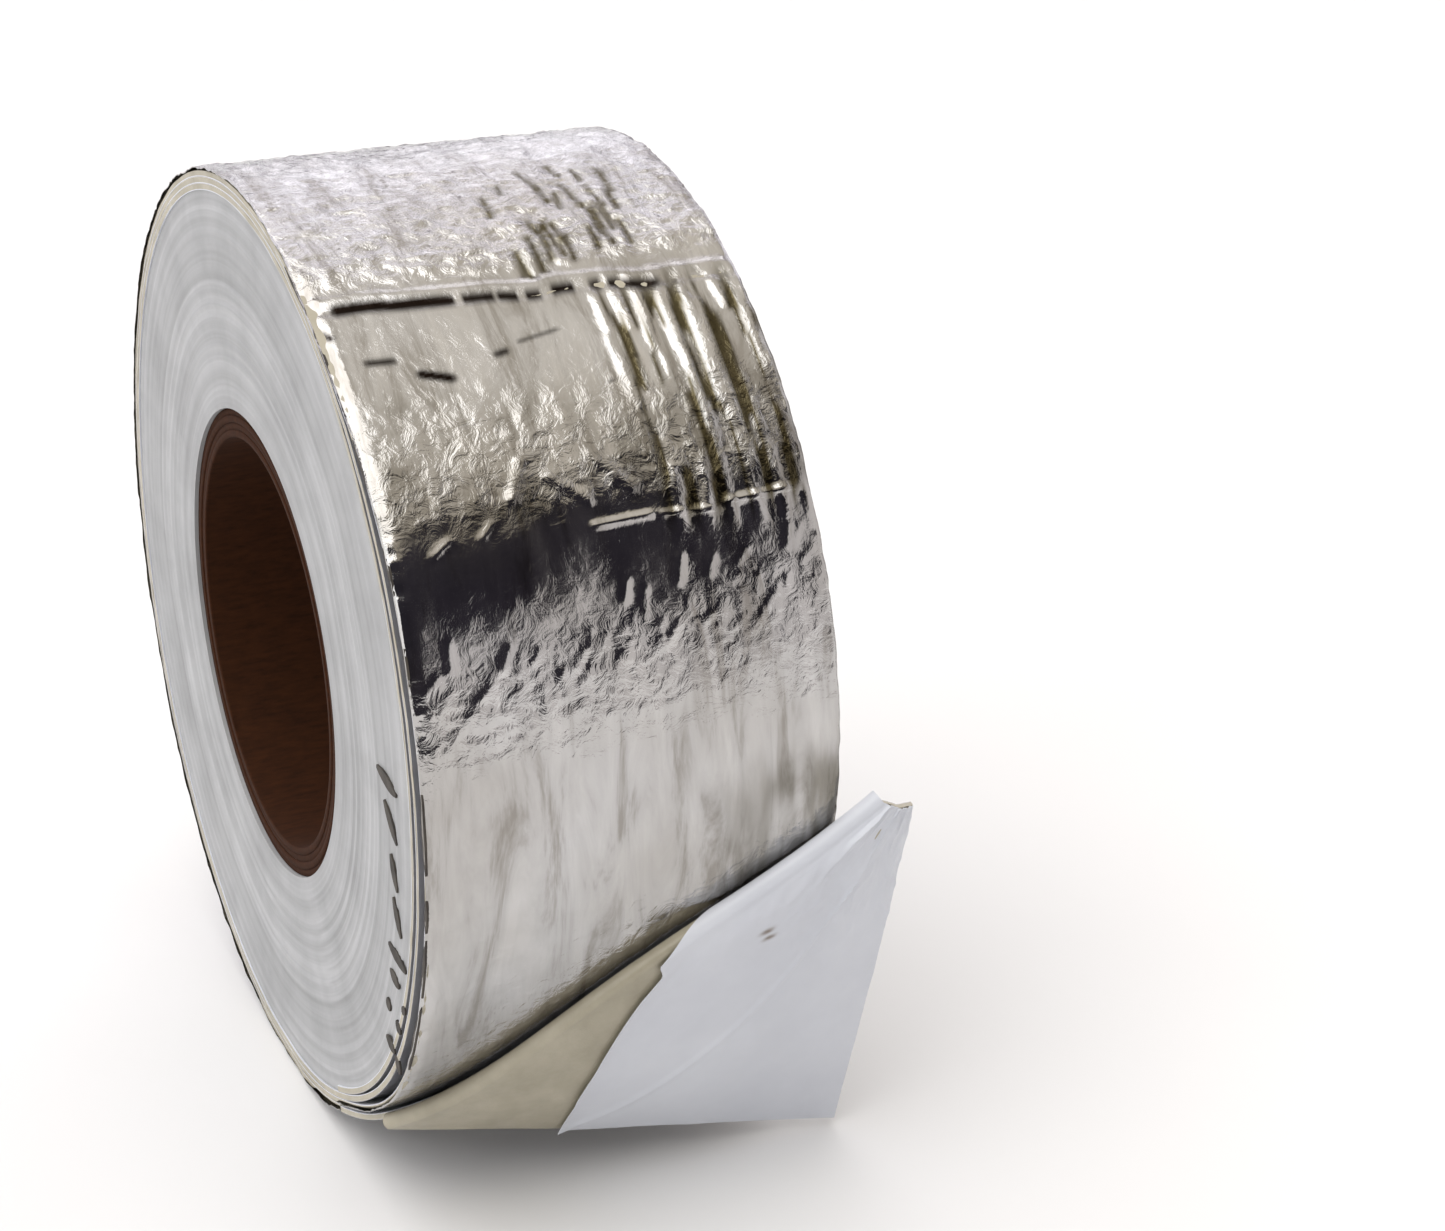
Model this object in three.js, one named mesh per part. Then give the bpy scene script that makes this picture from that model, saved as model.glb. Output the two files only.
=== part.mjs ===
// A roll of foil-faced butyl mastic tape standing on its tread, with its free
// end folded outward at 45 degrees and the white release liner showing on it.
// Millimetres, +Z up. The roll's axis lies along Y. The origin is the middle
// of the small flat the soft roll stands on. The free end is toward +X.
import * as THREE from 'three';

// ---- driving dimensions -------------------------------------------------
const TAPE_W = 75;             // tape width
const CORE_BORE_R = 38.1;      // 3 inch core bore
const CORE_WALL = 5.4;         // paper core wall
const CORE_PLIES = 4;          // strips wound one over another to make the core
const CORE_INSET = 1.0;        // core is cut this much short of the tape each side
const ROLL_R = 87;             // foil radius where the last wrap leaves the roll
const FOIL_T = 0.15;           // aluminium foil facing
const MASTIC_T = 0.9;          // butyl mastic
const LINER_T = 0.15;          // release liner
const SAG = 0.5;               // how far the soft roll flattens at the floor
const FREE_TURNS = 3;          // outer turns made as separate foil, mastic, liner
const LOOSE = 2.2;             // most that the last turn stands off at the front
const LAST_GAP = 0.35;         // air under the last stretch where it starts
const LAST_LIFT = 0.65;        // how much more it lifts on its way up
const FOLD_GAP = 0.9;          // air inside the folded end
const SPLIT_GAP = 0.7;         // clearance across the crease the corner hinges on
const LINER_GAP = 0.3;         // air between the flap's liner and its mastic
const FLAP_GAP = 1.7;          // air between the roll and the end lying back on it

// ---- derived ------------------------------------------------------------
const PITCH = FOIL_T + MASTIC_T + LINER_T;
const CORE_R = CORE_BORE_R + CORE_WALL;
const AXIS_Z = ROLL_R - SAG;
const HALF = TAPE_W / 2;
const FLAT_DEG = 6;            // half angle of the standing flat
const STEPS = 40;              // polyline steps round the rest of a turn
const STEP_DEG = (360 - 2 * FLAT_DEG) / STEPS;
const END_DEG = FLAT_DEG + 2 * STEP_DEG;   // where the wound strips stop
const LAYERS = {
  foil: [0, FOIL_T],
  mastic: [FOIL_T, FOIL_T + MASTIC_T],
  liner: [FOIL_T + MASTIC_T, PITCH],
};

const rad = (deg) => (deg * Math.PI) / 180;
const lerp = (a, b, t) => a + (b - a) * t;
const clamp01 = (t) => Math.min(1, Math.max(0, t));
const smooth = (t) => clamp01(t) * clamp01(t) * (3 - 2 * clamp01(t));

// A point at radius r, angle deg from straight down toward +X, width place y.
function onRoll(r, deg, y) {
  return new THREE.Vector3(r * Math.sin(rad(deg)), y, AXIS_Z - r * Math.cos(rad(deg)));
}

// The front of the last turns stands off the roll, most at about 80 degrees.
function looseness(deg, turnsIn) {
  const d = ((deg % 360) + 360) % 360;
  const bump = smooth((d - END_DEG) / 40) * (1 - smooth((d - 92) / 48));
  return LOOSE * bump * [1, 0.4, 0.12, 0][Math.min(3, turnsIn)];
}

// Outer radius of the foil at a winding angle, counted back from END_DEG.
function windRadius(wind) {
  const back = -wind;
  const turnsIn = Math.max(0, Math.ceil(back / 360 - 1e-9) - 1);
  return ROLL_R - (PITCH * back) / 360 + looseness(END_DEG + wind, turnsIn);
}

// Flatten the bottom: the surface dents less the deeper the layer lies.
function sagged(r, deg, rBottom) {
  const p = onRoll(r, deg, 0);
  const share = clamp01((rBottom - (ROLL_R - PITCH * (FREE_TURNS + 2))) / (PITCH * (FREE_TURNS + 2)));
  const floor = AXIS_Z - (rBottom - SAG * share);
  return [p.x, Math.max(p.z, floor)];
}

// Winding angles of the vertices from -turns to 0, each turn sharing places.
function windAngles(turns) {
  const oneTurn = [];
  for (let k = 2; k <= STEPS; k += 1) {
    oneTurn.push(FLAT_DEG + k * STEP_DEG);
  }
  oneTurn.push(360);
  oneTurn.push(360 + FLAT_DEG);
  oneTurn.push(360 + FLAT_DEG + STEP_DEG);
  const list = [];
  for (let t = turns; t > 0; t -= 1) {
    for (const a of oneTurn) {
      list.push(a - END_DEG - t * 360);
    }
  }
  list.push(0);
  return list;
}

// The line in the XZ plane that lies depth below the foil's face.
function windLine(angles, depth) {
  return angles.map((wind) => {
    const deg = END_DEG + wind;
    const near = Math.round(deg / 360) * 360 - END_DEG;
    const bottom = ROLL_R + (PITCH * near) / 360 - depth;
    return sagged(windRadius(wind) - depth, deg, bottom);
  });
}

function bodyMesh(name, material, positions, index) {
  const geometry = new THREE.BufferGeometry();
  geometry.setAttribute('position', new THREE.Float32BufferAttribute(positions, 3));
  geometry.setIndex(index);
  geometry.computeVertexNormals();
  const mesh = new THREE.Mesh(geometry, material);
  mesh.name = name;
  return mesh;
}

// Turn every face over if the solid came out inside out.
function faceOutward(positions, index) {
  let volume = 0;
  const a = new THREE.Vector3();
  const b = new THREE.Vector3();
  const c = new THREE.Vector3();
  for (let i = 0; i < index.length; i += 3) {
    a.fromArray(positions, index[i] * 3);
    b.fromArray(positions, index[i + 1] * 3);
    c.fromArray(positions, index[i + 2] * 3);
    volume += a.dot(b.cross(c));
  }
  if (volume < 0) {
    for (let i = 0; i < index.length; i += 3) {
      const keep = index[i];
      index[i] = index[i + 1];
      index[i + 1] = keep;
    }
  }
  return index;
}

// A flat-edged strip between two lines in the XZ plane, from y0 to y1.
// Closed rings join their last point to their first.
function strip(name, material, outer, inner, y0, y1, ring) {
  const n = outer.length;
  const positions = [];
  for (let k = 0; k < n; k += 1) {
    positions.push(outer[k][0], y0, outer[k][1], outer[k][0], y1, outer[k][1]);
    positions.push(inner[k][0], y0, inner[k][1], inner[k][0], y1, inner[k][1]);
  }
  const index = [];
  const quad = (a, b, c, d) => index.push(a, b, c, a, c, d);
  const spans = ring ? n : n - 1;
  for (let k = 0; k < spans; k += 1) {
    const p = 4 * k;
    const q = 4 * ((k + 1) % n);
    quad(p, p + 1, q + 1, q);
    quad(p + 3, p + 2, q + 2, q + 3);
    quad(p + 2, p, q, q + 2);
    quad(p + 1, p + 3, q + 3, q + 1);
  }
  if (!ring) {
    const e = 4 * (n - 1);
    quad(0, 2, 3, 1);
    quad(e, e + 1, e + 3, e + 2);
  }
  return bodyMesh(name, material, positions, faceOutward(positions, index));
}

// A sheet solid over a grid: at(u, v) gives a place and the way its depth runs.
function sheet(name, material, at, us, vs, depths) {
  const positions = [];
  const nu = us.length;
  const nv = vs.length;
  for (const depth of depths) {
    for (let i = 0; i < nu; i += 1) {
      for (let j = 0; j < nv; j += 1) {
        const { place, into } = at(us[i], vs[j]);
        const p = place.clone().addScaledVector(into, depth);
        positions.push(p.x, p.y, p.z);
      }
    }
  }
  const id = (side, i, j) => side * nu * nv + i * nv + j;
  const index = [];
  const quad = (a, b, c, d) => index.push(a, b, c, a, c, d);
  for (let i = 0; i < nu - 1; i += 1) {
    for (let j = 0; j < nv - 1; j += 1) {
      quad(id(0, i, j), id(0, i + 1, j), id(0, i + 1, j + 1), id(0, i, j + 1));
      quad(id(1, i, j), id(1, i, j + 1), id(1, i + 1, j + 1), id(1, i + 1, j));
    }
  }
  for (let i = 0; i < nu - 1; i += 1) {
    quad(id(0, i, 0), id(1, i, 0), id(1, i + 1, 0), id(0, i + 1, 0));
    quad(id(0, i, nv - 1), id(0, i + 1, nv - 1), id(1, i + 1, nv - 1), id(1, i, nv - 1));
  }
  for (let j = 0; j < nv - 1; j += 1) {
    quad(id(0, 0, j), id(0, 0, j + 1), id(1, 0, j + 1), id(1, 0, j));
    quad(id(0, nu - 1, j), id(1, nu - 1, j), id(1, nu - 1, j + 1), id(0, nu - 1, j + 1));
  }
  return bodyMesh(name, material, positions, faceOutward(positions, index));
}

// ---- the folded end -----------------------------------------------------
// The last stretch climbs the front from under the roll, folds outward along
// a slanting line and lies back over itself, sent 45 degrees toward +Y.
const TAIL_SHIFT = 7;            // the end has wandered this far toward +Y
const FOLD_LOW_DEG = 40;         // fold line at the -Y edge
const FOLD_HIGH_DEG = 84;        // fold line at the +Y edge
const FOLD_BOW_DEG = 13;         // the line bows up between them, more at its low end
const BARE_WIDEST = 0.34;        // bare mastic at the lower rim, as a share of it
const BARE_END = 0.52;           // where along the fold the bare sliver runs out
const CREASE_LOW = 0.5;          // crease on the lower rim, as a share of it
const CREASE_HIGH = 0.94;        // crease on the end edge, as a share of it
const END_LOW = new THREE.Vector3(ROLL_R - 18, HALF + TAIL_SHIFT + 2.7, 3.4);
const END_HIGH = new THREE.Vector3(ROLL_R + 0.5, HALF + TAIL_SHIFT + 7.5, AXIS_Z - 13.3);

function foldDeg(s) {
  return lerp(FOLD_LOW_DEG, FOLD_HIGH_DEG, s) + FOLD_BOW_DEG * 4 * s * (1 - s) * (1 - 0.9 * s);
}

function foldY(s) {
  return lerp(-HALF + 2, HALF + TAIL_SHIFT, s);
}

// Foil face of the stretch under the fold, loose by a little more than one pitch.
function underRadius(deg) {
  const below = windRadius(Math.max(0, deg - END_DEG) - 360);
  return below + PITCH + LAST_GAP + LAST_LIFT * smooth((deg - END_DEG) / 12);
}

function foldPoint(s) {
  const deg = foldDeg(s);
  return onRoll(underRadius(deg), deg, foldY(s));
}

function foldFrame(s) {
  const deg = foldDeg(s);
  const out = onRoll(1, deg, 0).sub(onRoll(0, 0, 0)).normalize();
  const ahead = foldPoint(Math.min(1, s + 0.01));
  const along = ahead.sub(foldPoint(Math.max(0, s - 0.01))).normalize();
  out.addScaledVector(along, -out.dot(along)).normalize();
  const over = new THREE.Vector3().crossVectors(along, out).normalize();
  if (over.z < 0) {
    over.negate();
  }
  return { out, over };
}

// Part under the fold: v runs 0 (start) to 1 (fold line).
function underFold(s, v) {
  const deg = lerp(END_DEG + 0.3, foldDeg(s), v);
  const y = lerp(lerp(-HALF, HALF, s), foldY(s), v * v);
  const place = onRoll(underRadius(deg), deg, y);
  const into = onRoll(0, 0, y).sub(place);
  into.y = 0;
  return { place, into: into.normalize() };
}

// Round the bend: turn runs 0 to 180 degrees.
function bend(s, turn) {
  const { out, over } = foldFrame(s);
  const r = FOLD_GAP / 2;
  const place = foldPoint(s);
  place.addScaledVector(over, r * Math.sin(rad(turn)));
  place.addScaledVector(out, r * (1 - Math.cos(rad(turn))));
  const into = out.clone().multiplyScalar(-Math.cos(rad(turn)));
  into.addScaledVector(over, Math.sin(rad(turn)));
  return { place, into: into.normalize() };
}

// Keep a flap point off the roll it lies against.
function clearOfRoll(p, gap) {
  const dx = p.x;
  const dz = AXIS_Z - p.z;
  const r = Math.hypot(dx, dz);
  const deg = (Math.atan2(dx, dz) * 180) / Math.PI;
  const fade = 1 - smooth((p.y - HALF - 1) / 8);
  const need = underRadius(Math.max(END_DEG, deg)) + gap;
  if (r < need) {
    const k = lerp(1, need / r, fade);
    p.x *= k;
    p.z = AXIS_Z - dz * k;
  }
  return p;
}

// The flap beyond the bend: v runs 0 (bend) to 1 (end edge).
function flapPlace(s, v) {
  const start = bend(s, 180).place;
  const end = new THREE.Vector3().lerpVectors(END_LOW, END_HIGH, s);
  const p = new THREE.Vector3().lerpVectors(start, end, v);
  return clearOfRoll(p, lerp(FOLD_GAP, FLAP_GAP, smooth(v * 6)));
}

function flap(s, v) {
  const e = 0.02;
  const place = flapPlace(s, v);
  const ds = flapPlace(Math.min(1, s + e), v).sub(flapPlace(Math.max(0, s - e), v));
  const dv = flapPlace(s, Math.min(1, v + e)).sub(flapPlace(s, Math.max(0, v - e)));
  const face = new THREE.Vector3().crossVectors(dv, ds).normalize();
  if (face.x < 0) {
    face.negate();
  }
  const into = bend(s, 180).into.lerp(face, smooth(v * 4)).normalize();
  return { place, into };
}

// The crease across the flap, where the end corner hinges: the flap meets a
// plane through two points of its rim that holds the flap's outward direction.
const creaseLow = flapPlace(0, CREASE_LOW);
const creaseHigh = flapPlace(CREASE_HIGH, 1);
const creaseLine = creaseHigh.clone().sub(creaseLow).normalize();
const creaseSide = new THREE.Vector3().crossVectors(creaseLine, flap(0.5, 0.6).into);
creaseSide.normalize();
if (END_LOW.clone().sub(creaseLow).dot(creaseSide) < 0) {
  creaseSide.negate();
}

function creaseAt(s) {
  const side = (v) => flapPlace(s, v).sub(creaseLow).dot(creaseSide);
  if (side(1) <= 0) {
    return 1;
  }
  let low = 0;
  let high = 1;
  for (let k = 0; k < 30; k += 1) {
    const mid = (low + high) / 2;
    if (side(mid) > 0) {
      high = mid;
    } else {
      low = mid;
    }
  }
  return low;
}

function halfSplit(s) {
  const length = flapPlace(s, 1).distanceTo(flapPlace(s, 0));
  return SPLIT_GAP / 2 / length;
}

// The last stretch in one sheet: v 0 to 1 under the fold, 1 to 2 round the
// bend, 2 to 3 out to the crease.
function foldedStretch(s, v) {
  if (v <= 1) {
    return underFold(s, v);
  }
  if (v <= 2) {
    return bend(s, (v - 1) * 180);
  }
  const crease = creaseAt(s);
  const stop = crease < 1 ? crease - halfSplit(s) : 1;
  return flap(s, lerp(0, stop, v - 2));
}

// The liner on the flap leaves a bare sliver of mastic, widest at the floor.
function linerStart(s) {
  return BARE_WIDEST * Math.pow(1 - Math.min(1, s / BARE_END), 1.1) + 0.03;
}

function linerStretch(s, v) {
  const from = linerStart(s);
  const crease = creaseAt(s);
  const stop = crease < 1 ? crease - halfSplit(s) : 1;
  return flap(s, lerp(from, stop, v));
}

// The corner beyond the crease.
function endCorner(s, v) {
  return flap(s, lerp(creaseAt(s) + halfSplit(s), 1, v));
}

// ---- materials ----------------------------------------------------------
const paint = (color, roughness, metalness) =>
  new THREE.MeshStandardMaterial({ color, roughness, metalness });
const foilPaint = paint(0xd2d0ce, 0.25, 1.0);
const masticPaint = paint(0x948e7d, 0.6, 0.0);
const linerPaint = paint(0xc6c8cc, 0.45, 0.0);
const woundPaint = paint(0xbababa, 0.6, 0.0);
const corePaint = paint(0x2e1a0c, 0.85, 0.0);

// ---- the roll -----------------------------------------------------------
const roll = new THREE.Group();
const fullTurn = windAngles(1);
const turnDegs = fullTurn.slice(0, -1).map((wind) => END_DEG + wind);

function circleLine(r) {
  return turnDegs.map((deg) => {
    const p = onRoll(r, deg, 0);
    return [p.x, p.z];
  });
}

for (let ply = 0; ply < CORE_PLIES; ply += 1) {
  const r0 = CORE_BORE_R + (CORE_WALL * ply) / CORE_PLIES;
  const r1 = CORE_BORE_R + (CORE_WALL * (ply + 1)) / CORE_PLIES;
  const y = HALF - CORE_INSET;
  roll.add(strip(`core_ply_${ply + 1}`, corePaint, circleLine(r1), circleLine(r0), -y, y, true));
}

// Inner turns: an annulus whose outside is itself one turn of the spiral.
// The free strips start a little past its step, on the first chord.
const START_SHARE = 0.05;
const wound = windAngles(FREE_TURNS);

function startOf(line) {
  return [0, 1].map((k) => lerp(line[0][k], line[1][k], START_SHARE));
}

function freeLine(depth) {
  const line = windLine(wound, depth);
  return [startOf(line), ...line.slice(1)];
}

const packTurn = windLine(wound, PITCH);
const packOuter = [packTurn[0], startOf(packTurn), ...packTurn.slice(1, fullTurn.length - 1)];
const boreTurn = wound.slice(0, fullTurn.length - 1).map((wind) => {
  const p = onRoll(CORE_R, END_DEG + wind, 0);
  return [p.x, p.z];
});
const packInner = [boreTurn[0], startOf(boreTurn), ...boreTurn.slice(1)];
// The step at the start carries one pitch, set back so the strips start past it.
packInner.push(packInner[0].slice());
packOuter.push(packTurn[fullTurn.length - 1]);

function packSolid() {
  const n = packOuter.length;
  const positions = [];
  const bore = packInner.slice(0, n - 1);
  for (const y of [-HALF, HALF]) {
    for (const p of packOuter) {
      positions.push(p[0], y, p[1]);
    }
    for (const p of bore) {
      positions.push(p[0], y, p[1]);
    }
  }
  const m = bore.length;
  const out = (side, k) => side * (n + m) + (k % n);
  const inn = (side, k) => side * (n + m) + n + (k % m);
  const index = [];
  const quad = (a, b, c, d) => index.push(a, b, c, a, c, d);
  for (let k = 0; k < n - 1; k += 1) {
    quad(out(0, k), out(1, k), out(1, k + 1), out(0, k + 1));
    quad(inn(0, k), inn(0, k + 1), inn(1, k + 1), inn(1, k));
    quad(out(0, k), out(0, k + 1), inn(0, k + 1), inn(0, k));
    quad(out(1, k), inn(1, k), inn(1, k + 1), out(1, k + 1));
  }
  quad(out(0, n - 1), out(1, n - 1), out(1, 0), out(0, 0));
  index.push(out(0, n - 1), out(0, 0), inn(0, 0));
  index.push(out(1, n - 1), inn(1, 0), out(1, 0));
  return bodyMesh('inner_turns', woundPaint, positions, faceOutward(positions, index));
}
roll.add(packSolid());

const windings = { foil: foilPaint, mastic: masticPaint, liner: linerPaint };
for (const [layer, material] of Object.entries(windings)) {
  const [top, low] = LAYERS[layer];
  const outer = freeLine(top);
  const inner = freeLine(low);
  roll.add(strip(`${layer}_outer_turns`, material, outer, inner, -HALF, HALF, false));
}

// ---- the fold and the hinged end ----------------------------------------
const range = (a, b, n) => Array.from({ length: n + 1 }, (_, k) => lerp(a, b, k / n));
const across = [...range(0, 0.8, 8), 0.88, 1];
const toCrease = [...range(0, 1, 7), ...range(1.25, 2, 3), ...range(2.2, 3, 4)];
const underSteps = toCrease.slice(0, 8);
roll.add(sheet('foil_fold', foilPaint, foldedStretch, across, toCrease, LAYERS.foil));
roll.add(sheet('mastic_fold', masticPaint, foldedStretch, across, toCrease, LAYERS.mastic));
roll.add(sheet('liner_fold', linerPaint, foldedStretch, across, underSteps, LAYERS.liner));

const raised = LAYERS.liner.map((d) => d + LINER_GAP);
const linerSteps = range(0, 1, 5);
roll.add(sheet('liner_flap', linerPaint, linerStretch, across, linerSteps, raised));

const cornerAcross = across.slice(0, -1);
const cornerSteps = range(0, 1, 4);
roll.add(sheet('foil_corner', foilPaint, endCorner, cornerAcross, cornerSteps, LAYERS.foil));
roll.add(sheet('mastic_corner', masticPaint, endCorner, cornerAcross, cornerSteps, LAYERS.mastic));
roll.add(sheet('liner_corner', linerPaint, endCorner, cornerAcross, cornerSteps, raised));

export default roll;
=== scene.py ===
"""A standing roll of foil-faced butyl tape with its end folded outward and the
white release liner showing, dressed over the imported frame. Metres, +Z up."""
import bpy
import math
import numpy as np
from mathutils import Vector, Matrix


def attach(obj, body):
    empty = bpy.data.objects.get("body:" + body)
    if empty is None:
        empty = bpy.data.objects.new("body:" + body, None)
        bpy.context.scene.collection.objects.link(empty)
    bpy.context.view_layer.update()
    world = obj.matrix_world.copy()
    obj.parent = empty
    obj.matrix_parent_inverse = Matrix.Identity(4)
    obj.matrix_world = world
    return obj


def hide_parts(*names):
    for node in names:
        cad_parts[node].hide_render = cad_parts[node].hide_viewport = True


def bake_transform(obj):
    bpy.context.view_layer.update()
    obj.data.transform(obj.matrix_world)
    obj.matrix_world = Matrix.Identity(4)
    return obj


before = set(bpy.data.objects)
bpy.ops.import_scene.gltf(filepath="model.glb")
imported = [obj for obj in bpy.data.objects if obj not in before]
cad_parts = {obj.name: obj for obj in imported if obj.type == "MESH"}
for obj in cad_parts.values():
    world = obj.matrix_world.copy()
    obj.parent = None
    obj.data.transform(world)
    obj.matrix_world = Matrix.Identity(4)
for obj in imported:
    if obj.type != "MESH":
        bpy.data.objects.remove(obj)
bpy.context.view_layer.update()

# ---- sizes, in millimetres and degrees, as the frame has them -----------------
W = 75.0
HALF = W / 2
BORE_R, CORE_R, CORE_INSET = 38.1, 43.5, 1.0
CORE_PLIES = 4
ROLL_R, SAG = 87.0, 0.5
FOIL_T, MASTIC_T, LINER_T = 0.15, 0.9, 0.15
PITCH = FOIL_T + MASTIC_T + LINER_T
AXIS_Z = ROLL_R - SAG
TURNS = 3                       # outer turns modelled one by one
WOUND_R = ROLL_R - PITCH * TURNS
END_DEG = 23.4                  # where the wound tape leaves the roll, up from the floor
# the last turn stands off the roll at the front, from END_DEG up to LOOSE_TOP
LOOSE, LOOSE_RISE, LOOSE_TOP, LOOSE_FALL = 2.2, 36, 112, 38
LOOSE_SHARES = np.array([1, 0.4, 0.12, 0])     # for the turns below it
LAST_GAP, LAST_LIFT = 0.3, 0.35
FOLD_GAP, FLAP_GAP = 0.9, 1.7
TAIL_SHIFT = 7.0
FOLD_LOW, FOLD_HIGH, FOLD_BOW = 40.0, 84.0, 13.0
END_LOW = np.array([69.0, 47.2, 1.1])
END_HIGH = np.array([87.5, 52.0, 73.2])
CREASE_DEG = 150.0              # the long crease across the front
TOP_DEG = 176.0                 # the front's fine mesh ends here


def lerp(a, b, t):
    return a + (b - a) * t


def smooth(t):
    t = np.clip(t, 0.0, 1.0)
    return t * t * (3 - 2 * t)


def on_roll(r, deg, y):
    a = np.radians(deg)
    return np.stack(np.broadcast_arrays(r * np.sin(a), y, AXIS_Z - r * np.cos(a)), -1)


def unit(v):
    return v / np.linalg.norm(v, axis=-1, keepdims=True)


# ---- deterministic noise ---------------------------------------------------
def lattice(ix, iy, seed):
    """A fixed number from 0 to 1 for each pair of whole numbers."""
    n = (ix.astype(np.int64) * 374761393 + iy.astype(np.int64) * 668265263
         + seed * 1442695041)
    n = (n ^ (n >> 13)) * 1274126177
    n = n ^ (n >> 16)
    return (n & 0xFFFFFF) / float(0xFFFFFF)


def chances(k, count, seed):
    """Fixed numbers from 0 to 1 for the k-th of a set of things."""
    return (lattice(np.array([k]), np.array([q]), seed)[0] for q in range(1, count + 1))


def vnoise(x, y, seed=0):
    """Smooth value noise, 0 to 1."""
    x, y = np.broadcast_arrays(np.asarray(x, float), np.asarray(y, float))
    ix, iy = np.floor(x), np.floor(y)
    fx, fy = x - ix, y - iy
    fx = fx * fx * fx * (fx * (fx * 6 - 15) + 10)
    fy = fy * fy * fy * (fy * (fy * 6 - 15) + 10)
    a, b = lattice(ix, iy, seed), lattice(ix + 1, iy, seed)
    c, d = lattice(ix, iy + 1, seed), lattice(ix + 1, iy + 1, seed)
    return lerp(lerp(a, b, fx), lerp(c, d, fx), fy)


def fbm(x, y, seed=0, octaves=4):
    """Layers of noise, each half as coarse and half as strong as the last, 0 to 1."""
    total, amp, norm = 0.0, 1.0, 0.0
    for k in range(octaves):
        total = total + amp * vnoise(x * 2 ** k + 17.3 * k, y * 2 ** k - 9.1 * k, seed + k)
        norm += amp
        amp *= 0.5
    return total / norm


def ridged(x, y, seed=0, octaves=3):
    """Sharp crests, as foil creases have: 0 to 1."""
    total, amp, norm = 0.0, 1.0, 0.0
    for k in range(octaves):
        n = vnoise(x * 2 ** k + 5.7 * k, y * 2 ** k + 3.3 * k, seed + k)
        total = total + amp * (1 - np.abs(2 * n - 1)) ** 2
        norm += amp
        amp *= 0.55
    return total / norm


def stroke(u, v, u0, v0, u1, v1, width):
    """1 on a line from (u0, v0) to (u1, v1), falling to 0 at width from it."""
    du, dv = u1 - u0, v1 - v0
    t = np.clip(((u - u0) * du + (v - v0) * dv) / (du * du + dv * dv), 0, 1)
    d = np.hypot(u - u0 - t * du, v - v0 - t * dv)
    return np.exp(-(d / width) ** 2)


# ---- mesh helpers ------------------------------------------------------------
def new_object(name, verts, faces, smooth_shade=True):
    mesh = bpy.data.meshes.new(name)
    mesh.from_pydata([tuple(v) for v in (np.asarray(verts) * 0.001).tolist()], [], faces)
    mesh.validate()
    if smooth_shade:
        mesh.polygons.foreach_set("use_smooth", [True] * len(mesh.polygons))
    mesh.update()
    obj = bpy.data.objects.new(name, mesh)
    bpy.context.scene.collection.objects.link(obj)
    return obj


def grid_faces(nu, nv, base=0, flip=False):
    i, j = np.meshgrid(np.arange(nu - 1), np.arange(nv - 1), indexing="ij")
    a = base + i * nv + j
    b = base + (i + 1) * nv + j
    quads = np.stack([a, b, b + 1, a + 1], -1).reshape(-1, 4)
    if flip:
        quads = quads[:, ::-1]
    return quads.tolist()


def ring_faces(n, segs):
    """Rows joined in a closed loop, each row itself a ring."""
    i, j = np.meshgrid(np.arange(n), np.arange(segs), indexing="ij")
    a = i * segs + j
    b = ((i + 1) % n) * segs + j
    c = ((i + 1) % n) * segs + (j + 1) % segs
    d = i * segs + (j + 1) % segs
    return np.stack([a, b, c, d], -1).reshape(-1, 4).tolist()


def mark_sharp(obj, degrees=50):
    """Edges sharper than this stay sharp under smooth shading."""
    bpy.context.view_layer.objects.active = obj
    obj.data.set_sharp_from_angle(angle=math.radians(degrees))


def sheet_solid(name, top, low, flip=False):
    """A closed sheet between two (nu, nv, 3) grids."""
    nu, nv = top.shape[:2]
    verts = np.concatenate([top.reshape(-1, 3), low.reshape(-1, 3)])
    n = nu * nv
    faces = grid_faces(nu, nv, 0, flip) + grid_faces(nu, nv, n, not flip)
    rim = [i * nv for i in range(nu)]
    rim += [(nu - 1) * nv + j for j in range(1, nv)]
    rim += [i * nv + nv - 1 for i in range(nu - 2, -1, -1)]
    rim += [j for j in range(nv - 2, 0, -1)]
    for a, b in zip(rim, rim[1:] + rim[:1]):
        faces.append([b, b + n, a + n, a] if flip else [a, a + n, b + n, b])
    obj = new_object(name, verts, faces)
    mark_sharp(obj)
    return obj


def set_uv(obj, u, v):
    """Flat coordinates in metres along and across the tape, one per vertex."""
    layer = obj.data.uv_layers.new(name="tape")
    idx = np.empty(len(obj.data.loops), np.int32)
    obj.data.loops.foreach_get("vertex_index", idx)
    uv = np.stack([u[idx], v[idx]], -1).astype(np.float32).ravel()
    layer.data.foreach_set("uv", uv)


def set_field(obj, name, values):
    """A number at each vertex for the material to read."""
    field = obj.data.attributes.new(name, "FLOAT", "POINT")
    field.data.foreach_set("value", values.ravel().astype(np.float32))


# ---- materials -----------------------------------------------------------------
def srgb(r, g, b):
    """Linear colour from 0 to 255 screen values."""
    def lin(c):
        c /= 255
        return c / 12.92 if c <= 0.04045 else ((c + 0.055) / 1.055) ** 2.4
    return lin(r), lin(g), lin(b)


def add_ramp(tree, fac, stops):
    """A colour ramp through (place, colour) stops, read at fac."""
    r = tree.nodes.new("ShaderNodeValToRGB")
    e = r.color_ramp.elements
    e[0].position, e[0].color = stops[0][0], (*stops[0][1], 1)
    e[1].position, e[1].color = stops[-1][0], (*stops[-1][1], 1)
    for pos, col in stops[1:-1]:
        e.new(pos).color = (*col, 1)
    tree.links.new(fac, r.inputs[0])
    return r.outputs[0]


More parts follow.
